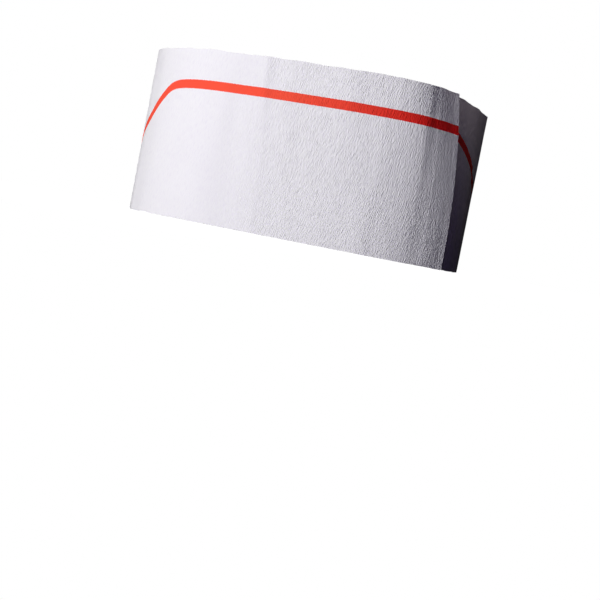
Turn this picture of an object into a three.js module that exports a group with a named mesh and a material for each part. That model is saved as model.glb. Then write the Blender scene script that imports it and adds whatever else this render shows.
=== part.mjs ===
// A paper soda jerk hat in millimetres: front towards -X, up along +Z, its left side towards -Y.
// It stands on its rim, with the origin on the floor under the middle of the hat.
import * as THREE from 'three';
import { mergeVertices } from 'three/addons/utils/BufferGeometryUtils.js';

// Overall sizes
const hatLength = 200;
const hatWidth = 160;
const bandHeight = 96;

// Paper and the way its layers lie on each other
const paperWall = 1;
const layerGap = 0.3;
const backDrop = 1.4;

// Crown sheet, glued inside the wall below its top edge and folded down along its middle
const crownRecess = 13;
const crownFlange = 10;
const crownValley = 17;

// Soft upright folds, as the ridge that each raises on the wall and its reach in rows of the outline
const foldRidge = 0.9;
const foldReach = 0.4;

// How strongly the rear corners bow between the rim and the top edge
const cornerBow = 2;

// How finely curves are cut into flat faces
const stepsPerRow = 5;
const wallTiers = 4;
const crownRings = 4;
const weldDistance = 1e-4;

// Colours of the paper, as it looks in even light
const crepeWhite = 0xf1eff3;

// Half of the outline in plan, from the front fold to the middle of the back.
// Lengths are shares of the outline's length, widths of half the hat's width, ridges of foldRidge.
const outlineRows = [
  { name: 'front_fold', rimLength: 0.000, rimWidth: 0.000, topLength: 0.000, topWidth: 0.000, ridge: 0.0 },
  { name: 'front', rimLength: 0.015, rimWidth: 0.126, topLength: 0.015, topWidth: 0.126, ridge: 0.0 },
  { name: 'front_round', rimLength: 0.055, rimWidth: 0.301, topLength: 0.055, topWidth: 0.301, ridge: 0.0 },
  { name: 'front_turn', rimLength: 0.120, rimWidth: 0.476, topLength: 0.120, topWidth: 0.481, ridge: 0.0 },
  { name: 'front_side', rimLength: 0.215, rimWidth: 0.641, topLength: 0.215, topWidth: 0.646, ridge: 0.0 },
  { name: 'side_fold', rimLength: 0.375, rimWidth: 0.795, topLength: 0.335, topWidth: 0.776, ridge: 1.0 },
  { name: 'side', rimLength: 0.475, rimWidth: 0.880, topLength: 0.450, topWidth: 0.877, ridge: 0.0 },
  { name: 'mid_side', rimLength: 0.580, rimWidth: 0.948, topLength: 0.570, topWidth: 0.965, ridge: 0.0 },
  { name: 'rear_fold', rimLength: 0.680, rimWidth: 0.987, topLength: 0.670, topWidth: 0.996, ridge: 0.5 },
  { name: 'widest', rimLength: 0.775, rimWidth: 0.985, topLength: 0.745, topWidth: 1.000, ridge: 0.0 },
  { name: 'rear_side', rimLength: 0.842, rimWidth: 0.938, topLength: 0.805, topWidth: 0.925, ridge: 0.4 },
  { name: 'tuck', rimLength: 0.885, rimWidth: 0.880, topLength: 0.843, topWidth: 0.840, ridge: 0.0 },
  { name: 'lap', rimLength: 0.922, rimWidth: 0.790, topLength: 0.875, topWidth: 0.752, ridge: 0.0 },
  { name: 'back_side', rimLength: 0.962, rimWidth: 0.550, topLength: 0.925, topWidth: 0.510, ridge: 0.0 },
  { name: 'back_fold', rimLength: 0.987, rimWidth: 0.200, topLength: 0.976, topWidth: 0.175, ridge: 0.4 },
  { name: 'back_middle', rimLength: 1.000, rimWidth: 0.000, topLength: 1.000, topWidth: 0.000, ridge: 0.0 },
];

// The back panel lies one layer inside the outline, so the outline is that much longer than the hat
const layerDepth = paperWall + layerGap;
const outlineLength = hatLength + layerDepth;
const lastRow = outlineRows.length - 1;

function rowNamed(name) {
  return outlineRows.findIndex((row) => row.name === name);
}

// Half outline at one share of the way from the rim to the top edge; the row past the middle keeps it smooth
function halfOutline(topShare) {
  const mix = THREE.MathUtils.lerp;
  const points = outlineRows.map((row) => new THREE.Vector3(
    mix(row.rimLength, row.topLength, topShare) * outlineLength,
    mix(row.rimWidth, row.topWidth, topShare) * hatWidth / 2,
    0,
  ));
  const pastMiddle = points[lastRow - 1].clone();
  pastMiddle.y = -pastMiddle.y;
  return new THREE.CatmullRomCurve3([...points, pastMiddle], false, 'catmullrom');
}

function ridgeAt(place) {
  return outlineRows.reduce(
    (height, row, index) => height + row.ridge * foldRidge * Math.exp(-Math.abs(Math.abs(place) - index) / foldReach),
    0,
  );
}

// A point of the wall: place counts rows from the front fold, positive on the hat's right side and
// negative on its left, and runs on past the middle of the back. Height is above the floor, depth is measured in
// from the outer face.
function wallPoint(placeOnLoop, height, depth) {
  const place = placeOnLoop > lastRow ? placeOnLoop - 2 * lastRow : placeOnLoop;
  const outline = halfOutline(Math.pow(height / bandHeight, cornerBow));
  const share = Math.abs(place) / outlineRows.length;
  const point = outline.getPoint(share);
  const along = outline.getTangent(share);
  const outward = new THREE.Vector3(-along.y, along.x, 0);
  if (place === 0) {
    outward.set(1 / outward.x, 0, 0);
  }
  point.addScaledVector(outward, ridgeAt(place) - depth);
  const side = place < 0 ? -1 : 1;
  return new THREE.Vector3(point.x - outlineLength / 2 + layerDepth / 2, side * point.y, height);
}

// Places from one row to another, each row cut into the same number of steps
function placesBetween(first, last) {
  const count = Math.round((last - first) * stepsPerRow);
  return Array.from({ length: count + 1 }, (_, step) => first + step / stepsPerRow);
}

// A closed sheet of paper from two grids of points, the outer one seen from outside with its columns
// running to the left and its rows upwards. A closed loop has its last column on its first, and a joined
// top has its last row folded onto itself.
function sheetGeometry(outer, inner, closedLoop, joinedTop) {
  const columns = outer.length;
  const rows = outer[0].length;
  const positions = [...outer.flat(), ...inner.flat()].flatMap((point) => point.toArray());
  const innerStart = columns * rows;
  const triangles = [];
  const quad = (a, b, c, d) => triangles.push(a, b, c, a, c, d);
  for (let column = 0; column < columns - 1; column += 1) {
    const here = column * rows;
    const next = here + rows;
    for (let row = 0; row < rows - 1; row += 1) {
      quad(here + row, here + row + 1, next + row + 1, next + row);
      quad(innerStart + here + row, innerStart + next + row, innerStart + next + row + 1, innerStart + here + row + 1);
    }
    quad(innerStart + here, here, next, innerStart + next);
    if (!joinedTop) {
      quad(here + rows - 1, innerStart + here + rows - 1, innerStart + next + rows - 1, next + rows - 1);
    }
  }
  if (!closedLoop) {
    const end = (columns - 1) * rows;
    for (let row = 0; row < rows - 1; row += 1) {
      quad(row, innerStart + row, innerStart + row + 1, row + 1);
      quad(end + row, end + row + 1, innerStart + end + row + 1, innerStart + end + row);
    }
  }
  const geometry = new THREE.BufferGeometry();
  geometry.setAttribute('position', new THREE.Float32BufferAttribute(positions, 3));
  geometry.setIndex(triangles);
  return withoutSlivers(mergeVertices(geometry, weldDistance));
}

// Points that coincide leave triangles without area, which are dropped
function withoutSlivers(geometry) {
  const index = geometry.getIndex().array;
  const kept = [];
  for (let start = 0; start < index.length; start += 3) {
    const [a, b, c] = index.slice(start, start + 3);
    if (a !== b && b !== c && c !== a) {
      kept.push(a, b, c);
    }
  }
  geometry.setIndex(kept);
  geometry.computeVertexNormals();
  return geometry;
}

// A strip of the wall between two places, from the floor up to its top edge, at one depth
function wallStrip(firstPlace, lastPlace, topHeight, depth) {
  const places = placesBetween(firstPlace, lastPlace);
  const face = (faceDepth) => places.map((place) => Array.from(
    { length: wallTiers + 1 },
    (_, tier) => wallPoint(place, topHeight * tier / wallTiers, faceDepth),
  ));
  return sheetGeometry(face(depth), face(depth + paperWall), false, false);
}

// The side band runs from one rear edge round the front fold to the other
function sideBand() {
  const lap = rowNamed('lap');
  return wallStrip(-lap, lap, bandHeight, 0);
}

// The back panel closes the hat behind, its ends tucked inside the side band
function backPanel() {
  const tuck = rowNamed('tuck');
  return wallStrip(tuck, 2 * lastRow - tuck, bandHeight - backDrop, layerDepth);
}

// The crown lies one layer inside the side band, and behind the tucked ends one layer further in
function crownDepth(place) {
  const tuck = rowNamed('tuck');
  return layerDepth * (1 + THREE.MathUtils.smoothstep(Math.abs(place), tuck - 1, tuck - 1 / stepsPerRow));
}

// The crown sheet: a glued flange up the wall, then two slopes that meet in a valley along the middle,
// deepest half way along and level with the fold at the front and the back
function crownSheet() {
  const foldHeight = bandHeight - crownRecess;
  const face = (inset) => {
    const edgeAt = (place, height) => wallPoint(place, height, crownDepth(place) + inset);
    const front = edgeAt(0, foldHeight).x;
    const back = edgeAt(lastRow, foldHeight).x;
    return placesBetween(-lastRow, lastRow).map((place) => {
      const edge = edgeAt(place, foldHeight);
      const fall = crownValley * Math.sin(Math.PI * (edge.x - front) / (back - front));
      const rings = Array.from({ length: crownRings + 1 }, (_, ring) => {
        const reach = 1 - ring / crownRings;
        return new THREE.Vector3(edge.x, edge.y * reach, foldHeight - inset - fall * (1 - reach));
      });
      return [edgeAt(place, foldHeight - crownFlange), ...rings];
    });
  };
  return sheetGeometry(face(0), face(paperWall), true, true);
}

function meshOf(name, geometry, colour) {
  const material = new THREE.MeshStandardMaterial({ color: colour, roughness: 0.92, metalness: 0 });
  const mesh = new THREE.Mesh(geometry, material);
  mesh.name = name;
  return mesh;
}

const hat = new THREE.Group();
hat.name = 'paper_soda_jerk_hat';
hat.add(meshOf('side_band', sideBand(), crepeWhite));
hat.add(meshOf('back_panel', backPanel(), crepeWhite));
hat.add(meshOf('crown_sheet', crownSheet(), crepeWhite));

export default hat;
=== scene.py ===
"""Dress a paper soda jerk hat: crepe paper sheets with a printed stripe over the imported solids.

The hat stands on its rim, its front towards -X and its left side towards -Y. Sizes are in millimetres
unless a name or comment says otherwise, and become metres when a mesh is made.
"""

from __future__ import annotations

import logging
import math
from abc import ABC, abstractmethod
from dataclasses import dataclass
from enum import Enum
from typing import Any, NamedTuple

import bmesh
import bpy
import numpy as np
from mathutils import Matrix, Vector

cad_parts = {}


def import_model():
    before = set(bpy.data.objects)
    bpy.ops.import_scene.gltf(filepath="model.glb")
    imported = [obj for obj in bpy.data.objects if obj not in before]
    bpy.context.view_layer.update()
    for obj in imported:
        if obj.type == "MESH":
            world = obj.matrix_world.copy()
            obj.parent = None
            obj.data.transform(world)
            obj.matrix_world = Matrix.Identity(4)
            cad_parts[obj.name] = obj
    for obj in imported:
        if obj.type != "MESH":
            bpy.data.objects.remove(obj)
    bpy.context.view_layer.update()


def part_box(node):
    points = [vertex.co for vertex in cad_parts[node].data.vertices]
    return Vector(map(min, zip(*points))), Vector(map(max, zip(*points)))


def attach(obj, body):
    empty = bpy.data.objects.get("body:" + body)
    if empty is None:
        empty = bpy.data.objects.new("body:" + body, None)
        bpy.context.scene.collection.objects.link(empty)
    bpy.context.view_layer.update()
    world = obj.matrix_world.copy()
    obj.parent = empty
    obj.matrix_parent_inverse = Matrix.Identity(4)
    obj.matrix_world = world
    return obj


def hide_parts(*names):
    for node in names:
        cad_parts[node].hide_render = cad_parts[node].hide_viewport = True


LOG = logging.getLogger("paper_hat")

# Short names of types: whole arrays of numbers, a material's tree of nodes, and a node's socket
Array = np.ndarray
Tree = bpy.types.NodeTree
Socket = bpy.types.NodeSocket

MM = 0.001
SHEET_ATTRIBUTE = "sheet_place"
PRINT_ATTRIBUTE = "print_strength"
WHITE = (1.0, 1.0, 1.0, 1.0)

# Width of the square picture in pixels, and of the camera's sensor in millimetres
FRAME_PIXELS = 600
SENSOR_WIDTH = 36.0

# From the outer face of one solid sheet to that of the next, which is 1 mm of wall and a gap of 0.3 mm
LAYER_DEPTH = 1.3

# An edge is sharp past this angle. Lengths in metres: points nearer than the first are merged, and faces
# with an edge shorter than the second are dropped.
SHARP_DEGREES = 55.0
MERGE_LENGTH = 1e-6
SLIVER_LENGTH = 1e-7

# The value about which each part of a noise's colour lies
NOISE_MIDDLE = (0.5, 0.5, 0.5)

# Share of a fold's ridge that stands out at the hat's widest place, and how many places are tried for it
RIDGE_AT_WIDEST = 0.2
FIT_SAMPLES = 900


class PaperPrint(Enum):
    """What is printed on a sheet of paper."""

    PLAIN = "plain"
    STRIPED = "striped"


class OutlineRow(NamedTuple):
    """One upright line of the wall: shares of the outline's length and half width, at the rim and top."""

    name: str
    rim_length: float
    rim_width: float
    top_length: float
    top_width: float
    ridge: float


# Half of the outline in plan, from the front fold to the back's middle, with ridges as shares of fold_ridge
OUTLINE_ROWS = (
    OutlineRow("front_fold", 0.000, 0.000, 0.000, 0.000, 0.0),
    OutlineRow("front", 0.015, 0.126, 0.015, 0.126, 0.0),
    OutlineRow("front_round", 0.055, 0.301, 0.055, 0.301, 0.0),
    OutlineRow("front_turn", 0.120, 0.476, 0.120, 0.481, 0.0),
    OutlineRow("front_side", 0.215, 0.641, 0.215, 0.646, 0.0),
    OutlineRow("side_fold", 0.375, 0.795, 0.335, 0.776, 1.0),
    OutlineRow("side", 0.475, 0.880, 0.450, 0.877, 0.0),
    OutlineRow("mid_side", 0.580, 0.948, 0.570, 0.965, 0.0),
    OutlineRow("rear_fold", 0.680, 0.987, 0.670, 0.996, 0.5),
    OutlineRow("widest", 0.775, 0.985, 0.745, 1.000, 0.0),
    OutlineRow("rear_side", 0.842, 0.938, 0.805, 0.925, 0.4),
    OutlineRow("tuck", 0.885, 0.880, 0.843, 0.840, 0.0),
    OutlineRow("lap", 0.922, 0.790, 0.875, 0.752, 0.0),
    OutlineRow("back_side", 0.962, 0.550, 0.925, 0.510, 0.0),
    OutlineRow("back_fold", 0.987, 0.200, 0.976, 0.175, 0.4),
    OutlineRow("back_middle", 1.000, 0.000, 1.000, 0.000, 0.0),
)


def linear_colour(hex_code: str) -> tuple[float, float, float, float]:
    """Turn an sRGB hex colour to linear light.

    Args:
        hex_code: six hex digits after a hash.

    Returns:
        Red, green, blue and an alpha of one.
    """
    shares = [int(hex_code[start : start + 2], 16) / 255 for start in (1, 3, 5)]
    linear = [c / 12.92 if c <= 0.04045 else ((c + 0.055) / 1.055) ** 2.4 for c in shares]
    return linear[0], linear[1], linear[2], 1.0


def add_node(
    tree: Tree,
    kind: str,
    settings: dict[str, Any] | None = None,
    links: dict[str | int, Any] | None = None,
) -> bpy.types.Node:
    """Add one node with its settings and links.

    Args:
        tree: the node tree that takes it.
        kind: the node's type name.
        settings: attribute names and values.
        links: an input's name or number, with an output socket to link or a value to set.

    Returns:
        The new node.
    """
    node = tree.nodes.new(kind)
    for name, value in (settings or {}).items():
        setattr(node, name, value)
    for name, value in (links or {}).items():
        if isinstance(value, Socket):
            tree.links.new(value, node.inputs[name])
        else:
            node.inputs[name].default_value = value
    return node


def add_math(tree: Tree, operation: str, *values: Any, kind: str = "ShaderNodeMath") -> Socket:
    """Add a node that works on its inputs in their order, and return its result."""
    return add_node(tree, kind, {"operation": operation}, dict(enumerate(values))).outputs[0]


def add_noise(
    tree: Tree, place: Socket, spacing: float, detail: float, roughness: float = 0.5
) -> bpy.types.Node:
    """Add a noise whose swells lie a spacing apart, with finer ones laid over them."""
    links = {"Vector": place, "Scale": 1 / spacing, "Detail": detail, "Roughness": roughness}
    return add_node(tree, "ShaderNodeTexNoise", None, links)


def smooth_step(values: Array, low: float, high: float) -> Array:
    """Go from 0 at low to 1 at high as 3t squared less 2t cubed, where t is the share of the way.

    Args:
        values: the numbers to grade.
        low: the number that gives 0.
        high: the number that gives 1, which may be the smaller one.

    Returns:
        Shares between 0 and 1.
    """
    t = np.clip((values - low) / (high - low), 0.0, 1.0)
    return t * t * (3.0 - 2.0 * t)


@dataclass(frozen=True)
class Outline:
    """The hat's wall in plan, as a smooth curve through its rows that changes from the rim to the top.

    A place on the wall counts rows from the front fold, above zero on the right side and below it on the
    left, and runs on past the middle of the back. A level is a height as a share of the wall's height. The
    samples are how many points lengths along the wall are measured with.
    """

    length: float
    half_width: float
    height: float
    front_x: float
    corner_bow: float = 2.0
    fold_ridge: float = 0.9
    fold_reach: float = 0.4
    belly: float = 1.6
    belly_place: float = 7.8
    belly_reach: float = 1.55
    arc_samples: int = 1200
    half_samples: int = 600
    even_samples: int = 2000
    even_level: float = 0.5
    row_clearance: float = 0.02
    rows: tuple[OutlineRow, ...] = OUTLINE_ROWS

    @property
    def last(self) -> int:
        """Number of the row at the middle of the back."""
        return len(self.rows) - 1

    def row_named(self, name: str) -> int:
        """Number of the row with that name."""
        return [row.name for row in self.rows].index(name)

    def controls(self, level: Array) -> Array:
        """Rows as points at each level: rim plus the way to the top times level to the power corner_bow.

        A point is added before the front, on the first span's line, and one past the back, mirrored.

        Args:
            level: levels.

        Returns:
            Points, as rows by levels by 2.
        """
        table = np.array([row[1:5] for row in self.rows])[:, None, :]
        mix = (level**self.corner_bow)[None, :, None]
        rim, top = table[..., 0:2], table[..., 2:4]
        points = (rim + (top - rim) * mix) * [self.length, self.half_width]
        before = 2.0 * points[:1] - points[1:2]
        after = points[-2:-1] * [1.0, -1.0]
        return np.concatenate([before, points, after])

    def ridge(self, place: Array) -> Array:
        """How far the wall stands out of its curve, as soft upright folds and the paper's belly.

        A fold falls off as e to the minus distance over fold_reach, and the belly as e to the minus square
        of the distance over belly_reach, with distances counted in rows.

        Args:
            place: places along the wall.

        Returns:
            Distances, one for each place.
        """
        along = np.abs(place)
        rows = np.arange(len(self.rows))
        height = np.array([row.ridge for row in self.rows]) * self.fold_ridge
        folds = (height * np.exp(-np.abs(along[:, None] - rows) / self.fold_reach)).sum(axis=1)
        return folds + self.belly * np.exp(-(((along - self.belly_place) / self.belly_reach) ** 2))

    def wall(self, place: Array, level: Array) -> tuple[Array, Array]:
        """Points and outward directions of the wall on a grid of places and levels.

        Between rows the curve is a uniform Catmull-Rom cubic, and the outward direction is its tangent
        turned a quarter turn. At the front fold it is mitred, straight ahead and that much longer. The
        point is then moved outwards by the ridge.

        Args:
            place: places along the wall.
            level: levels.

        Returns:
            Points and unit directions in plan, each as places by levels by 2.
        """
        wrapped = np.where(place > self.last, place - 2 * self.last, place)
        side = np.where(wrapped < 0, -1.0, 1.0)[:, None]
        along = np.abs(wrapped)
        span = np.clip(np.floor(along), 0, self.last - 1).astype(int)
        t = (along - span)[:, None, None]
        control = self.controls(level)
        p0, p1, p2, p3 = (control[span + step] for step in range(4))
        cubic = -p0 + 3 * p1 - 3 * p2 + p3
        square = 2 * p0 - 5 * p1 + 4 * p2 - p3
        point = 0.5 * (2 * p1 + (p2 - p0) * t + square * t**2 + cubic * t**3)
        tangent = 0.5 * ((p2 - p0) + 2 * square * t + 3 * cubic * t**2)
        outward = np.stack([-tangent[..., 1], tangent[..., 0]], axis=-1)
        outward /= np.linalg.norm(outward, axis=-1, keepdims=True)
        at_fold = (along == 0)[:, None]
        outward[..., 0] = np.where(at_fold, 1.0 / outward[..., 0], outward[..., 0])
        outward[..., 1] = np.where(at_fold, 0.0, outward[..., 1])
        point = point + outward * self.ridge(along)[:, None, None]
        point[..., 1] *= side
        outward[..., 1] *= side
        point[..., 0] += self.front_x
        return point, outward

    def arcs(self, place: Array, level: Array) -> Array:
        """Distance round the wall from the front fold, minus on the left side.

        It is the running sum of the straight steps between neighbouring places at each level. A strip that
        doesn't pass the front fold has the arc from the fold to its start added.

        Args:
            place: places in rising order.
            level: levels.

        Returns:
            Distances, as places by levels.
        """
        fine = np.union1d(np.linspace(place[0], place[-1], self.arc_samples), place)
        point, _ = self.wall(fine, level)
        steps = np.linalg.norm(np.diff(point, axis=0), axis=-1)
        total = np.concatenate([np.zeros((1, len(level))), np.cumsum(steps, axis=0)])
        here = total[np.searchsorted(fine, place)]
        if place[0] <= 0.0 <= place[-1]:
            return here - total[np.searchsorted(fine, 0.0)]
        return here + self.arc_to(place[0], level)

    def arc_to(self, place: float, level: Array) -> Array:
        """Distance round the wall from the front fold to one place, as the sum of short straight steps.

        Args:
            place: the place.
            level: levels.

        Returns:
            Distances, one for each level.
        """
        point, _ = self.wall(np.linspace(0.0, place, self.half_samples), level)
        return np.linalg.norm(np.diff(point, axis=0), axis=-1).sum(axis=0)

    def even_places(self, first: float, last: float, step: float) -> Array:
        """Places about one step of arc apart at even_level, with every row among them.

        A row takes the place of those that lie nearer to it than row_clearance.

        Args:
            first: where the strip starts.
            last: where it ends.
            step: wanted distance between neighbours.

        Returns:
            Places in rising order.
        """
        fine = np.linspace(first, last, self.even_samples)
        point, _ = self.wall(fine, np.array([self.even_level]))
        arc = np.concatenate([[0.0], np.cumsum(np.linalg.norm(np.diff(point[:, 0], axis=0), axis=-1))])
        even = np.interp(np.linspace(0.0, arc[-1], int(arc[-1] / step) + 1), arc, fine)
        rows = np.arange(math.ceil(first), math.floor(last) + 1).astype(float)
        kept = even[np.min(np.abs(even[:, None] - rows), axis=1) > self.row_clearance]
        return np.union1d(np.union1d(kept, rows), [first, last])


@dataclass(frozen=True)
class Handling:
    """Soft buckles that handling leaves in crepe paper: long upright waves less than a millimetre deep."""

    seed: int = 7
    waves: int = 26
    shortest: float = 13.0
    longest: float = 70.0
    growth: float = 0.8
    proud: float = 0.34
    slant: float = 0.22
    edge_waves: int = 12
    edge_shortest: float = 6.0
    edge_longest: float = 60.0
    edge_calm: float = 4.0

    def relief(self, arc: Array, height: Array) -> Array:
        """Sum of slanted sine waves with random lengths and phases, higher where they are longer.

        A wave's share is its length over the longest, to the power growth, over the root of their number.

        Args:
            arc: distance round the wall.
            height: height above the rim.

        Returns:
            Distance that the paper stands out, of the same shape.
        """
        chance = np.random.default_rng(self.seed)
        length = np.exp(chance.uniform(math.log(self.shortest), math.log(self.longest), self.waves))
        slant = chance.uniform(-self.slant, self.slant, self.waves)
        phase = chance.uniform(0.0, 2 * math.pi, self.waves)
        share = (length / self.longest) ** self.growth / math.sqrt(self.waves)
        turn = 2 * math.pi * (arc[..., None] + slant * height[..., None]) / length + phase
        return self.proud * (share * np.sin(turn)).sum(axis=-1)

    def edge(self, arc: Array) -> Array:
        """Slow wander of a cut edge: a sum of sine waves of random length and phase, divided by edge_calm.

        Args:
            arc: distance round the wall.

        Returns:
            Wander between about minus one and one, of the same shape.
        """
        chance = np.random.default_rng(self.seed + 1)
        length = chance.uniform(self.edge_shortest, self.edge_longest, self.edge_waves)
        phase = chance.uniform(0.0, 2 * math.pi, self.edge_waves)
        return np.sin(2 * math.pi * arc[..., None] / length + phase).sum(axis=-1) / self.edge_calm


@dataclass(frozen=True)
class Crease:
    """A soft upright fold at a distance round the wall, alike on both sides and fading towards the rim.

    It is a ridge that falls off as e to the minus distance over its reach, and a hollow where proud is less
    than zero.
    """

    top_arc: float
    rim_arc: float
    proud: float
    reach: float
    full_level: float
    no_level: float

    def relief(self, arc: Array, level: Array) -> Array:
        """Distance that the paper stands out: all of it above full_level, and none below no_level.

        Args:
            arc: distance round the wall.
            level: levels, of the same shape.

        Returns:
            Distances of the same shape.
        """
        line = self.rim_arc + (self.top_arc - self.rim_arc) * level
        strength = smooth_step(level, self.no_level, self.full_level)
        return self.proud * strength * np.exp(-np.abs(np.abs(arc) - line) / self.reach)


@dataclass(frozen=True)
class StripeEnd:
    """One end of the stripe's level run, from where it slopes down to a V.

    With d as how far a place lies inside the reach, times the slope, and r as the root of d squared plus
    the rounding squared, the drop is half of d plus r, and its steepness half the slope times one plus d
    over r. The stripe loses narrowing, as a share of its width, where it has its full slope.
    """

    reach: float
    slope: float
    rounding: float
    narrowing: float = 0.0

    def drop(self, distance: Array) -> Array:
        """Extra depth at a distance from the V."""
        inside = (self.reach - distance) * self.slope
        return 0.5 * (inside + np.hypot(inside, self.rounding))

    def steepness(self, distance: Array) -> Array:
        """How fast the extra depth grows towards the V, which is the drop's own derivative."""
        inside = (self.reach - distance) * self.slope
        return 0.5 * self.slope * (1.0 + inside / np.hypot(inside, self.rounding))

    def narrowed(self, distance: Array) -> Array:
        """Share of the stripe's width that it loses at a distance from the V."""
        return self.narrowing * self.steepness(distance) / self.slope


@dataclass(frozen=True)
class StripeLine:
    """Centre line of the printed stripe: level along the sides, with a V at the front and the back."""

    below_top: float = 19.3
    front: StripeEnd = StripeEnd(reach=33.2, slope=1.03, rounding=6.8, narrowing=0.23)
    back: StripeEnd = StripeEnd(reach=66.0, slope=0.45, rounding=2.5)

    def offset(self, below: Array, from_front: Array, from_back: Array) -> Array:
        """Distance above the line, measured square to it and stretched where the stripe is narrower.

        It is the line's depth less the place's depth, times the cosine of the line's slope, over the share
        of its width that the stripe keeps.

        Args:
            below: depth of the place below the top edge.
            from_front: distance from the front fold.
            from_back: distance from the middle of the back.

        Returns:
            Distances of the same shape.
        """
        depth = self.below_top + self.front.drop(from_front) + self.back.drop(from_back)
        slope = self.front.steepness(from_front) - self.back.steepness(from_back)
        kept = 1.0 - self.front.narrowed(from_front) - self.back.narrowed(from_back)
        return (depth - below) / np.hypot(1.0, slope) / kept


class PaperGrid(NamedTuple):
    """One face of a sheet: its points, their places on the flat sheet, and the strength of its print."""

    points: Array
    places: Array
    ink: float


def quad_strip(edge_a: Array, edge_b: Array) -> Array:
    """Quads between two lines of point numbers of the same length."""
    return np.stack([edge_a[:-1], edge_a[1:], edge_b[1:], edge_b[:-1]], axis=-1)


def sheet_faces(columns: int, rows: int, joined_top: bool) -> Array:
    """Quads of a closed sheet whose outer grid of points is followed by its inner one.

    The faces are quads between neighbouring points, the inner ones turned round, with a strip along each
    free edge.

    Args:
        columns: points along the sheet.
        rows: points up it.
        joined_top: whether the last row is folded onto itself and the columns close on themselves.

    Returns:
        Point numbers, four to a face.
    """
    outer = np.arange(columns * rows).reshape(columns, rows)
    inner = outer + columns * rows
    corners = [outer[:-1, :-1], outer[:-1, 1:], outer[1:, 1:], outer[1:, :-1]]
    front = np.stack(corners, axis=-1).reshape(-1, 4)
    back = front[:, ::-1] + columns * rows
    parts = [front, back, quad_strip(outer[:, 0], inner[:, 0])]
    if not joined_top:
        parts.append(quad_strip(inner[:, -1], outer[:, -1]))
        parts.append(quad_strip(inner[0], outer[0]))
        parts.append(quad_strip(outer[-1], inner[-1]))
    return np.concatenate(parts)


def close_seams(mesh: bpy.types.Mesh) -> None:
    """Merge points that coincide and drop the faces without area that this leaves.

    Args:
        mesh: the mesh, which is changed.
    """
    work = bmesh.new()
    work.from_mesh(mesh)
    bmesh.ops.remove_doubles(work, verts=work.verts, dist=MERGE_LENGTH)
    bmesh.ops.dissolve_degenerate(work, edges=work.edges, dist=SLIVER_LENGTH)
    work.to_mesh(mesh)
    work.free()


def paper_mesh(name: str, outer: PaperGrid, inner: PaperGrid, joined_top: bool) -> bpy.types.Object:
    """Make a closed sheet of paper from its two faces, which have the same columns and rows.

    Args:
        name: the piece's name.
        outer: the face that is seen from outside, columns running left and rows upwards.
        inner: the face one wall further in.
        joined_top: whether the last row is folded onto itself and the columns close on themselves.

    Returns:
        The new object, in metres.
    """
    columns, rows = outer.points.shape[:2]
    faces = sheet_faces(columns, rows, joined_top)
    points = np.concatenate([outer.points.reshape(-1, 3), inner.points.reshape(-1, 3)]) * MM
    places = np.concatenate([outer.places.reshape(-1, 3), inner.places.reshape(-1, 3)])
    ink = np.repeat([outer.ink, inner.ink], columns * rows)

    mesh = bpy.data.meshes.new(name)
    mesh.vertices.add(len(points))
    mesh.vertices.foreach_set("co", points.astype(np.float32).ravel())
    mesh.loops.add(faces.size)
    mesh.loops.foreach_set("vertex_index", faces.astype(np.int32).ravel())
    mesh.polygons.add(len(faces))
    mesh.polygons.foreach_set("loop_start", np.arange(0, faces.size, 4, dtype=np.int32))
    mesh.update(calc_edges=True)
    place_layer = mesh.attributes.new(SHEET_ATTRIBUTE, "FLOAT_VECTOR", "POINT")
    place_layer.data.foreach_set("vector", places.astype(np.float32).ravel())
    ink_layer = mesh.attributes.new(PRINT_ATTRIBUTE, "FLOAT", "POINT")
    ink_layer.data.foreach_set("value", ink.astype(np.float32))
    if joined_top:
        close_seams(mesh)
    mesh.validate()
    mesh.polygons.foreach_set("use_smooth", np.ones(len(mesh.polygons), bool))
    mesh.set_sharp_from_angle(angle=math.radians(SHARP_DEGREES))
    piece = bpy.data.objects.new(name, mesh)
    bpy.context.scene.collection.objects.link(piece)
    return piece


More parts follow.
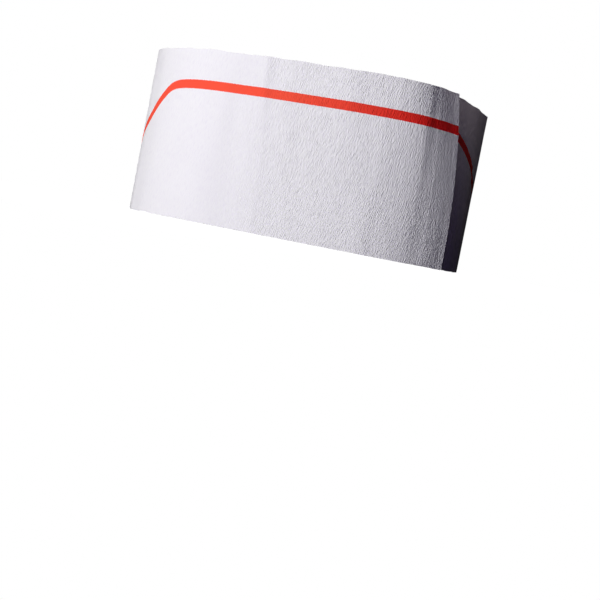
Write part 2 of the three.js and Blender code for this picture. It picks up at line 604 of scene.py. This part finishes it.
@dataclass(frozen=True)
class CrepePaper:
    """Two-ply crepe paper, made by scraping wet tissue off a roll, which leaves fine wrinkles.

    To the eye it is a matt white with a faint cool cast. Its wrinkles run up the wall about a millimetre
    apart, twice the spacing of their noise, lean a little, and catch the light where it grazes the sheet.
    The fibres are drawn about ten times as coarse as real ones, which would be too fine to show. The slant
    is in degrees.
    """

    name: str
    printed: PaperPrint
    paper_hex: str = "#F5F4F8"
    # Painted shade colour: the violet grey that the wrinkles' hollows are darkened towards, which the
    # mottling also mixes in
    mottle_and_painted_shade_hex: str = "#E6E2EE"
    ink_hex: str = "#FF553E"
    # Painted shade: the ink is mixed towards this darker red between these two distances from the front
    # fold, as the side turns away from the light
    painted_shade_ink_hex: str = "#E81214"
    ink_painted_shade_from: float = 115.0
    ink_painted_shade_to: float = 195.0
    stripe_half_width: float = 2.55
    ink_fade: float = 0.16
    ragged_edge: float = 0.25
    wrinkle_spacing: float = 0.47
    wrinkle_length: float = 3.6
    wrinkle_proud: float = 0.66
    wrinkle_slant: float = 10.0
    wrinkle_detail: float = 1.3
    front_share: float = 0.22
    front_from: float = 70.0
    front_to: float = 125.0
    wander: float = 0.3
    wander_spacing: float = 7.143
    wander_detail: float = 1.0
    fibre_spacing: float = 0.30
    fibre_detail: float = 2.0
    fibre_roughness: float = 0.6
    fibre_share: float = 0.06
    # Painted shade in the wrinkles' hollows: the wrinkle height where it starts, where it is full, and its
    # largest share
    painted_shade_from: float = 0.56
    painted_shade_to: float = 0.30
    painted_shade_share: float = 0.35
    # Mottling: the sheet's own uneven tone, strongest where the paper is pulled smooth. Its fading where
    # the wrinkles are strong is painted light, which lightens that paper to offset the bump's shade.
    cloud_spacing: float = 22.22
    cloud_detail: float = 3.0
    cloud_top: float = 1.2
    cloud_share: float = 0.32
    roughness: float = 0.9
    ior: float = 1.5
    specular: float = 0.25

    def build(self) -> bpy.types.Material:
        """Make the material from the sheet's own places, in millimetres.

        Returns:
            The node material.
        """
        material = bpy.data.materials.new(self.name)
        material.use_nodes = True
        tree = material.node_tree
        tree.nodes.clear()
        place = add_node(tree, "ShaderNodeAttribute", {"attribute_name": SHEET_ATTRIBUTE}).outputs["Vector"]
        wrinkle, fibre, cloud = self._patterns(tree, place)
        relief = add_math(tree, "MULTIPLY_ADD", fibre, self.fibre_share, wrinkle)
        along = add_node(tree, "ShaderNodeSeparateXYZ", None, {0: place}).outputs["X"]
        away = add_math(tree, "ABSOLUTE", along)
        strength = self._strength(tree, away)
        bump = add_node(
            tree,
            "ShaderNodeBump",
            None,
            {"Strength": strength, "Distance": self.wrinkle_proud * MM, "Height": relief},
        )
        colour = self._paper_colour(tree, wrinkle, cloud, strength)
        if self.printed is PaperPrint.STRIPED:
            colour = self._stripe_colour(tree, place, wrinkle, away, colour)
        shader = add_node(
            tree,
            "ShaderNodeBsdfPrincipled",
            None,
            {
                "Base Color": colour,
                "Roughness": self.roughness,
                "IOR": self.ior,
                "Specular IOR Level": self.specular,
                "Normal": bump.outputs["Normal"],
            },
        )
        add_node(tree, "ShaderNodeOutputMaterial", None, {"Surface": shader.outputs["BSDF"]})
        return material

    def _strength(self, tree: Tree, away: Socket) -> Socket:
        """Add the wrinkles' strength: the sheet is pulled smooth where it turns round the front of the hat.

        Args:
            tree: the material's tree.
            away: distance from the front fold.

        Returns:
            A share from front_share to one.
        """
        return add_node(
            tree,
            "ShaderNodeMapRange",
            {"interpolation_type": "SMOOTHSTEP"},
            {
                "Value": away,
                "From Min": self.front_from,
                "From Max": self.front_to,
                "To Min": self.front_share,
            },
        ).outputs[0]

    def _patterns(self, tree: Tree, place: Socket) -> tuple[Socket, Socket, Socket]:
        """Add the wrinkles, fibres and clouding.

        The wrinkles are noise squeezed to their spacing round the hat and stretched to their length up it,
        turned by their slant, on places that a slower noise moves a little.

        Args:
            tree: the material's tree.
            place: place on the sheet.

        Returns:
            Wrinkle height, fibre height and cloudiness, each about 0 to 1.
        """
        flat = add_math(tree, "MULTIPLY", place, (1.0, 1.0, 0.0), kind="ShaderNodeVectorMath")
        slow = add_noise(tree, flat, self.wander_spacing, self.wander_detail).outputs["Color"]
        centred = add_math(tree, "SUBTRACT", slow, NOISE_MIDDLE, kind="ShaderNodeVectorMath")
        reach = (2 * self.wander, 2 * self.wander, 0.0)
        moved = add_math(tree, "MULTIPLY_ADD", centred, reach, flat, kind="ShaderNodeVectorMath")
        stretched = add_node(
            tree,
            "ShaderNodeMapping",
            {"vector_type": "TEXTURE"},
            {
                "Vector": moved,
                "Rotation": (0.0, 0.0, math.radians(self.wrinkle_slant)),
                "Scale": (self.wrinkle_spacing, self.wrinkle_length, 1.0),
            },
        ).outputs[0]
        wrinkle = add_noise(tree, stretched, 1.0, self.wrinkle_detail)
        fibre = add_noise(tree, flat, self.fibre_spacing, self.fibre_detail, self.fibre_roughness)
        cloud = add_noise(tree, flat, self.cloud_spacing, self.cloud_detail)
        return wrinkle.outputs["Fac"], fibre.outputs["Fac"], cloud.outputs["Fac"]

    def _paper_colour(self, tree: Tree, wrinkle: Socket, cloud: Socket, strength: Socket) -> Socket:
        """Add the bare paper's colour, with painted shade in the wrinkles' hollows and a mottled tone.

        The share of the painted shade colour is the hollows' share, plus cloudiness times cloud_share times
        what the strength leaves of cloud_top, so the mottling is faintest where the wrinkles are strong.

        Args:
            tree: the material's tree.
            wrinkle: wrinkle height.
            cloud: cloudiness.
            strength: share of the wrinkles' full strength.

        Returns:
            The colour socket.
        """
        # Painted shade: the lower a wrinkle lies, the more of the shade colour it gets, as if its hollow
        # were in shadow
        hollow = add_node(
            tree,
            "ShaderNodeMapRange",
            None,
            {
                "Value": wrinkle,
                "From Min": self.painted_shade_from,
                "From Max": self.painted_shade_to,
                "To Max": self.painted_shade_share,
            },
        ).outputs[0]
        # Mottling, the sheet's own tone, scaled by what the wrinkles' strength leaves of cloud_top. Its
        # fading where the wrinkles are strong is painted light against the bump's shade.
        smooth = add_math(tree, "SUBTRACT", self.cloud_top, strength)
        grey = add_math(tree, "MULTIPLY", smooth, cloud)
        mottle_and_painted_shade = add_math(tree, "MULTIPLY_ADD", grey, self.cloud_share, hollow)
        return add_node(
            tree,
            "ShaderNodeMix",
            {"data_type": "RGBA"},
            {0: mottle_and_painted_shade, 6: linear_colour(self.paper_hex), 7: linear_colour(self.mottle_and_painted_shade_hex)},
        ).outputs[2]

    def _stripe_colour(
        self, tree: Tree, place: Socket, wrinkle: Socket, away: Socket, paper: Socket
    ) -> Socket:
        """Print the stripe on the paper's colour, with painted shade that darkens the ink towards the back.

        Args:
            tree: the material's tree.
            place: place on the sheet, whose third part is the height above the stripe's line.
            wrinkle: wrinkle height, which makes the ink's edge ragged.
            away: distance from the front fold.
            paper: the bare paper's colour.

        Returns:
            The colour socket.
        """
        above = add_node(tree, "ShaderNodeSeparateXYZ", None, {0: place}).outputs["Z"]
        ragged = add_math(tree, "MULTIPLY_ADD", wrinkle, 2 * self.ragged_edge, above)
        level = add_math(tree, "SUBTRACT", ragged, self.ragged_edge)
        off_line = add_math(tree, "ABSOLUTE", level)
        inked = add_node(
            tree,
            "ShaderNodeMapRange",
            {"interpolation_type": "SMOOTHSTEP"},
            {
                "Value": off_line,
                "From Min": self.stripe_half_width + self.ink_fade,
                "From Max": self.stripe_half_width - self.ink_fade,
            },
        ).outputs[0]
        printed = add_node(tree, "ShaderNodeAttribute", {"attribute_name": PRINT_ATTRIBUTE}).outputs["Fac"]
        share = add_math(tree, "MULTIPLY", inked, printed)
        # Painted shade: share of the darker red, rising with the distance from the front fold
        painted_ink_shade = add_node(
            tree,
            "ShaderNodeMapRange",
            None,
            {"Value": away, "From Min": self.ink_painted_shade_from, "From Max": self.ink_painted_shade_to},
        ).outputs[0]
        ink = add_node(
            tree,
            "ShaderNodeMix",
            {"data_type": "RGBA"},
            {0: painted_ink_shade, 6: linear_colour(self.ink_hex), 7: linear_colour(self.painted_shade_ink_hex)},
        ).outputs[2]
        mixed = add_node(tree, "ShaderNodeMix", {"data_type": "RGBA"}, {0: share, 6: paper, 7: ink})
        return mixed.outputs[2]


def stand_for(piece: bpy.types.Object, node: str, material: bpy.types.Material) -> None:
    """Give a piece its paper and let it ride on the hat in place of its solid.

    Args:
        piece: the new piece.
        node: the solid that it replaces.
        material: the paper.
    """
    piece.data.materials.append(material)
    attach(piece, "root")
    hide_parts(node)
    LOG.info("%s: %d faces, stands for %s", piece.name, len(piece.data.polygons), node)


@dataclass
class WallSheet(ABC):
    """A strip of the hat's wall: one sheet of paper from the floor up to its top edge.

    Its outer face lies depth inside the outline. The cut edges at its top and rim wander a little, within
    edge_band as a share of its height, and its free ends stand off by edge_lift.
    """

    outline: Outline
    top_height: float
    name: str
    node: str
    depth: float
    edge_lift: float
    creases: tuple[Crease, ...]
    stripe: StripeLine
    wall: float = 0.45
    column_step: float = 1.5
    row_count: int = 56
    edge_reach: float = 15.0
    edge_wander: float = 0.22
    edge_band: float = 0.2
    show_through: float = 0.05
    handling: Handling = Handling()

    @abstractmethod
    def ends(self) -> tuple[float, float]:
        """Places at which the strip starts and ends."""

    def face(self, inset: float, ink: float) -> PaperGrid:
        """Work out one face of the sheet.

        A point is the wall's point, moved outwards by the handling's relief, the creases and the lift of
        the free ends, less its depth. The ends lift as the square of how far a place lies inside the
        last edge_reach.

        Args:
            inset: distance in from the sheet's outer face.
            ink: strength of the print on this face.

        Returns:
            The face's grid.
        """
        outline = self.outline
        place = outline.even_places(*self.ends(), self.column_step)
        rise = np.linspace(0.0, 1.0, self.row_count + 1)
        height = rise * self.top_height
        level = height / outline.height
        point, outward = outline.wall(place, level)
        arc = outline.arcs(place, level)
        whole = outline.arcs(np.array([0.0, float(outline.last)]), level)[1]
        round_arc = np.where(arc > whole, arc - 2 * whole, arc)
        tall = np.broadcast_to(height, arc.shape)
        to_end = np.minimum(arc - arc[:1], arc[-1:] - arc)
        lift = self.edge_lift * np.clip(1.0 - to_end / self.edge_reach, 0.0, None) ** 2
        folds = sum(crease.relief(round_arc, tall / outline.height) for crease in self.creases)
        out = self.handling.relief(round_arc, tall) + folds + lift - self.depth - inset
        wander = self.handling.edge(round_arc) * self.edge_wander
        at_top = wander * smooth_step(rise, 1.0 - self.edge_band, 1.0)
        at_rim = np.abs(wander) * smooth_step(rise, self.edge_band, 0.0)
        z = tall + at_top + at_rim
        points = np.concatenate([point + outward * out[..., None], z[..., None]], axis=-1)
        from_front = np.abs(round_arc)
        off_line = self.stripe.offset(outline.height - tall, from_front, whole - from_front)
        places = np.stack([round_arc, tall, off_line], axis=-1)
        return PaperGrid(points, places, ink)

    def build(self) -> bpy.types.Object:
        """Make the sheet's mesh, with the print only faintly showing through on its inner face."""
        return paper_mesh(self.name, self.face(0.0, 1.0), self.face(self.wall, self.show_through), False)

    def dress(self, material: bpy.types.Material, slot: str) -> None:
        """Build the sheet and stand it for its solid, in its paper."""
        stand_for(self.build(), self.node, material)


@dataclass
class SideBand(WallSheet):
    """The side band, from one free rear edge round the front fold to the other.

    Its cut rear edges stop short of the solid's by lap_trim, in rows of the outline.
    """

    name: str = "side_band_paper"
    node: str = "side_band"
    depth: float = 0.0
    edge_lift: float = 1.0
    lap_trim: float = 0.52
    creases: tuple[Crease, ...] = (
        # The side fold and the hollow behind it, then a faint streak and the turn at the rear
        Crease(top_arc=97.0, rim_arc=96.0, proud=0.60, reach=5.0, full_level=1.0, no_level=0.30),
        Crease(top_arc=103.0, rim_arc=100.0, proud=-0.40, reach=4.0, full_level=1.0, no_level=0.50),
        Crease(top_arc=172.0, rim_arc=172.0, proud=0.30, reach=2.0, full_level=0.95, no_level=0.70),
        Crease(top_arc=189.0, rim_arc=192.0, proud=1.60, reach=9.0, full_level=1.0, no_level=-0.20),
    )
    stripe: StripeLine = StripeLine()

    def ends(self) -> tuple[float, float]:
        """Places of the two cut rear edges."""
        lap = self.outline.row_named("lap") - self.lap_trim
        return -lap, lap


@dataclass
class BackPanel(WallSheet):
    """The back panel, which closes the hat behind, with its ends tucked inside the side band."""

    name: str = "back_panel_paper"
    node: str = "back_panel"
    depth: float = 1.0
    edge_lift: float = 0.0
    creases: tuple[Crease, ...] = (
        Crease(top_arc=249.0, rim_arc=256.0, proud=0.60, reach=3.0, full_level=1.0, no_level=-1.0),
    )
    stripe: StripeLine = StripeLine(back=StripeEnd(reach=71.0, slope=0.45, rounding=5.0))

    def ends(self) -> tuple[float, float]:
        """Places of the two tucked ends, the second one past the middle of the back."""
        tuck = float(self.outline.row_named("tuck"))
        return tuck, 2 * self.outline.last - tuck


@dataclass
class CrownSheet:
    """The crown: a glued flange up the wall, a round fold, and two slopes that meet in a valley.

    Behind the tucked ends of the back panel the flange lies one layer further in. It starts to do so
    deepens_before rows ahead of the tuck, and has done so deepened_before rows ahead of it.
    """

    outline: Outline
    fold_height: float
    name: str = "crown_paper"
    node: str = "crown_sheet"
    wall: float = 0.45
    flange: float = 10.0
    valley: float = 16.0
    belly: float = 1.2
    fold_radius: float = 1.3
    deepens_before: float = 1.0
    deepened_before: float = 0.2
    column_step: float = 2.4
    flange_rows: int = 6
    fold_rows: int = 5
    slope_rows: int = 40
    handling: Handling = Handling(seed=11, waves=18, proud=0.8, slant=0.5)

    def depths(self, place: Array) -> Array:
        """Depth of the flange: one layer in, and one more behind the tucked ends of the back panel."""
        ahead = self.outline.row_named("tuck") - np.abs(place)
        return LAYER_DEPTH * (1.0 + smooth_step(ahead, self.deepens_before, self.deepened_before))

    def upright(self, place: Array, inset: float) -> Array:
        """Work out the flange, which is the wall's line at its depth, and the fold, a quarter circle.

        Args:
            place: places along the wall.
            inset: distance in from the crown's upper face.

        Returns:
            Points, as places by rows by 3.
        """
        bend = self.fold_height - self.fold_radius
        radius = self.fold_radius - inset
        angle = np.linspace(0.0, math.pi / 2, self.fold_rows + 1)[1:]
        flange_z = np.linspace(self.fold_height - self.flange, bend, self.flange_rows + 1)
        z = np.concatenate([flange_z, bend + radius * np.sin(angle)])
        inward = np.concatenate([np.full(len(flange_z), inset), self.fold_radius - radius * np.cos(angle)])
        point, outward = self.outline.wall(place, z / self.outline.height)
        plan = point - outward * (self.depths(place)[:, None] + inward)[..., None]
        return np.concatenate([plan, np.broadcast_to(z, point.shape[:2])[..., None]], axis=-1)

    def slopes(self, edge: Array) -> Array:
        """Work out the two slopes from the fold's inner edge to the valley.

        A slope keeps the length of its place on the wall and shares its width down to zero. It falls by
        the valley's depth, which is a half sine along the hat, with a shallow sine belly on its way.
        Handling's relief is added with that same sine, so that the edges stay where they are.

        Args:
            edge: points of the fold's inner edge.

        Returns:
            Points, as places by rows by 3.
        """
        reach = np.linspace(1.0, 0.0, self.slope_rows + 1)[1:]
        front, back = edge[:, 0].min(), edge[:, 0].max()
        fall = self.valley * np.sin(math.pi * (edge[:, 0] - front) / (back - front))
        broad = np.abs(edge[:, 1]) / np.abs(edge[:, 1]).max()
        along, beside = np.broadcast_arrays(edge[:, :1], edge[:, 1:2] * reach)
        buckle = self.belly - self.handling.relief(along, beside)
        sag = fall[:, None] * (1.0 - reach) + buckle * broad[:, None] * np.sin(math.pi * reach)
        return np.stack([along, beside, edge[:, 2:3] - sag], axis=-1)

    def face(self, inset: float) -> PaperGrid:
        """Work out one face of the crown, placed on the flat sheet by the length of paper from its edge.

        It has no stripe, so the third part of each place is left at zero.

        Args:
            inset: distance in from the crown's upper face.

        Returns:
            The face's grid.
        """
        place = self.outline.even_places(-self.outline.last, self.outline.last, self.column_step)
        upright = self.upright(place, inset)
        points = np.concatenate([upright, self.slopes(upright[:, -1])], axis=1)
        run = np.linalg.norm(np.diff(points, axis=1), axis=-1)
        across = np.concatenate([np.zeros((len(place), 1)), np.cumsum(run, axis=1)], axis=1)
        places = np.stack([points[..., 0], across, np.zeros(across.shape)], axis=-1)
        return PaperGrid(points, places, 0.0)

    def build(self) -> bpy.types.Object:
        """Make the crown's mesh."""
        return paper_mesh(self.name, self.face(0.0), self.face(self.wall), True)

    def dress(self, material: bpy.types.Material, slot: str) -> None:
        """Build the crown and stand it for its solid, in its paper."""
        stand_for(self.build(), self.node, material)


@dataclass(frozen=True)
class SoftLight:
    """A square light that faces the hat, with its distance and size in metres.

    Its turn and rise are in degrees, the turn from the hat's left side towards its front.
    """

    name: str
    hex_code: str
    turn: float
    rise: float
    distance: float
    size: float
    watts: float

    def hang(self, target: Vector) -> None:
        """Hang the light at its distance from the target.

        Args:
            target: what it faces, in metres.
        """
        turn, rise = math.radians(self.turn), math.radians(self.rise)
        away = Vector((-math.sin(turn) * math.cos(rise), -math.cos(turn) * math.cos(rise), math.sin(rise)))
        data = bpy.data.lights.new(self.name, "AREA")
        data.energy = self.watts
        data.size = self.size
        data.color = linear_colour(self.hex_code)[:3]
        light = bpy.data.objects.new(self.name, data)
        light.location = target + away * self.distance
        light.rotation_euler = (-away).to_track_quat("-Z", "Y").to_euler()
        bpy.context.scene.collection.objects.link(light)


@dataclass(frozen=True)
class WhiteFloor:
    """White studio card: matt and bright, its soft shadows near the hat fading to plain white further out.

    Distances are in metres from the middle of the floor.
    """

    name: str = "white_studio_floor"
    card_hex: str = "#E8E8EE"
    roughness: float = 0.95
    glow: float = 0.84
    fades_from: float = 0.1
    fades_to: float = 0.45

    def build(self) -> bpy.types.Material:
        """Make the material, whose shadows fade with the distance from the floor's middle.

        Returns:
            The node material.
        """
        material = bpy.data.materials.new(self.name)
        material.use_nodes = True
        tree = material.node_tree
        tree.nodes.clear()
        place = add_node(tree, "ShaderNodeTexCoord").outputs["Object"]
        away = add_node(tree, "ShaderNodeVectorMath", {"operation": "LENGTH"}, {0: place}).outputs["Value"]
        far = add_node(
            tree,
            "ShaderNodeMapRange",
            {"interpolation_type": "SMOOTHSTEP"},
            {"Value": away, "From Min": self.fades_from, "From Max": self.fades_to},
        ).outputs[0]
        near_shader = add_node(
            tree,
            "ShaderNodeBsdfPrincipled",
            None,
            {
                "Base Color": linear_colour(self.card_hex),
                "Roughness": self.roughness,
                "Specular IOR Level": 0.0,
                "Emission Color": WHITE,
                "Emission Strength": self.glow,
            },
        )
        far_shader = add_node(tree, "ShaderNodeEmission", None, {"Color": WHITE})
        mixed = add_node(
            tree, "ShaderNodeMixShader", None, {0: far, 1: near_shader.outputs[0], 2: far_shader.outputs[0]}
        )
        add_node(tree, "ShaderNodeOutputMaterial", None, {"Surface": mixed.outputs[0]})
        return material


@dataclass
class Studio:
    """A white floor, soft lights, white surroundings and the camera, with lengths in metres."""

    centre: Vector
    camera_distance: float = 0.70
    camera_height: float = 0.005
    camera_near: float = 0.01
    focal_pixels: float = 1160.0
    roll_degrees: float = 11.02
    hat_pixel_x: float = 308.0
    hat_pixel_y: float = 162.0
    floor_half: float = 6.0
    floor_drop: float = 0.0002
    floor_finish: WhiteFloor = WhiteFloor()
    ambient: float = 0.009
    ambient_hex: str = "#F2EEFF"
    lights: tuple[SoftLight, ...] = (
        SoftLight("key", "#FFFFFC", turn=41.0, rise=9.0, distance=0.85, size=0.40, watts=6.75),
        SoftLight("lilac_side", "#B084FF", turn=8.0, rise=4.0, distance=1.00, size=0.40, watts=0.55),
        SoftLight("rear_top", "#FFF0F0", turn=-70.0, rise=64.0, distance=0.22, size=0.05, watts=0.11),
        SoftLight("far_side", "#FBFAFF", turn=168.0, rise=22.0, distance=1.10, size=0.60, watts=10.0),
    )

    def add_camera(self) -> None:
        """Stand the camera low at the hat's left side, rolled as the hat leans in the picture.

        It first looks at the hat's middle, is rolled, and is then turned to bring the middle to its pixel.
        """
        data = bpy.data.cameras.new("camera")
        data.sensor_width = SENSOR_WIDTH
        data.lens = self.focal_pixels / FRAME_PIXELS * SENSOR_WIDTH
        data.clip_start = self.camera_near
        camera = bpy.data.objects.new("camera", data)
        bpy.context.scene.collection.objects.link(camera)
        place = Vector((self.centre.x, self.centre.y - self.camera_distance, self.camera_height))
        look = (self.centre - place).to_track_quat("-Z", "Y").to_matrix().to_4x4()
        aside = math.atan((self.hat_pixel_x - FRAME_PIXELS / 2) / self.focal_pixels)
        below = math.atan((FRAME_PIXELS / 2 - self.hat_pixel_y) / self.focal_pixels)
        roll = Matrix.Rotation(math.radians(self.roll_degrees), 4, "Z")
        turn = Matrix.Rotation(aside, 4, "Y") @ Matrix.Rotation(-below, 4, "X")
        camera.matrix_world = Matrix.Translation(place) @ look @ roll @ turn
        bpy.context.scene.camera = camera

    def add_floor(self) -> None:
        """Lay the floor, which only the camera sees, so it throws no light on the hat."""
        half = self.floor_half
        corners = [(-half, -half, 0), (half, -half, 0), (half, half, 0), (-half, half, 0)]
        mesh = bpy.data.meshes.new("floor")
        mesh.from_pydata(corners, [], [(0, 1, 2, 3)])
        mesh.materials.append(self.floor_finish.build())
        floor = bpy.data.objects.new("floor", mesh)
        floor.location.z = -self.floor_drop
        floor.visible_diffuse = False
        floor.visible_glossy = False
        bpy.context.scene.collection.objects.link(floor)

    def set_world(self) -> None:
        """Make the surroundings white to the camera and a dim lilac to everything else."""
        world = bpy.data.worlds.new("studio")
        bpy.context.scene.world = world
        world.use_nodes = True
        tree = world.node_tree
        tree.nodes.clear()
        seen = add_node(tree, "ShaderNodeBackground", None, {"Color": WHITE})
        dim = add_node(
            tree,
            "ShaderNodeBackground",
            None,
            {"Color": linear_colour(self.ambient_hex), "Strength": self.ambient},
        )
        path = add_node(tree, "ShaderNodeLightPath")
        mixed = add_node(
            tree,
            "ShaderNodeMixShader",
            None,
            {0: path.outputs["Is Camera Ray"], 1: dim.outputs[0], 2: seen.outputs[0]},
        )
        add_node(tree, "ShaderNodeOutputWorld", None, {"Surface": mixed.outputs[0]})

    def build(self) -> None:
        """Set up the whole studio."""
        self.add_camera()
        self.add_floor()
        for light in self.lights:
            light.hang(self.centre)
        self.set_world()
        bpy.context.scene.view_settings.view_transform = "Standard"


def fitted_outline() -> Outline:
    """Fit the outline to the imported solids' boxes.

    The half width is scaled from a trial outline of the same length, so that the curve, with its belly and
    what a fold's ridge adds at its widest place, comes out as wide as the solids.

    Returns:
        The outline, in millimetres.
    """
    band_low, band_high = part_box("side_band")
    _, back_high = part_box("back_panel")
    length = (back_high.x - band_low.x) / MM + LAYER_DEPTH
    height = (band_high.z - band_low.z) / MM
    trial = Outline(length, length / 2, height, front_x=0.0)
    point, _ = trial.wall(np.linspace(0.0, trial.last, FIT_SAMPLES), np.array([1.0]))
    ridge = trial.fold_ridge * RIDGE_AT_WIDEST
    share = (point[..., 1].max() - ridge) / trial.half_width
    return Outline(length, (band_high.y / MM - ridge) / share, height, front_x=band_low.x / MM)


def main() -> None:
    """Load the solids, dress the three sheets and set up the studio."""
    logging.basicConfig(level=logging.INFO, format="%(name)s: %(message)s")
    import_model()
    outline = fitted_outline()
    _, back_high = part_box("back_panel")
    _, crown_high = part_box("crown_sheet")

    printed = CrepePaper("printed_crepe_paper", PaperPrint.STRIPED).build()
    plain = CrepePaper("plain_crepe_paper", PaperPrint.PLAIN).build()
    SideBand(outline, outline.height).dress(printed, "printed_crepe_paper")
    BackPanel(outline, back_high.z / MM).dress(printed, "printed_crepe_paper")
    CrownSheet(outline, crown_high.z / MM).dress(plain, "plain_crepe_paper")

    Studio(Vector((0.0, 0.0, outline.height / 2 * MM))).build()


if __name__ == "__main__":
    main()
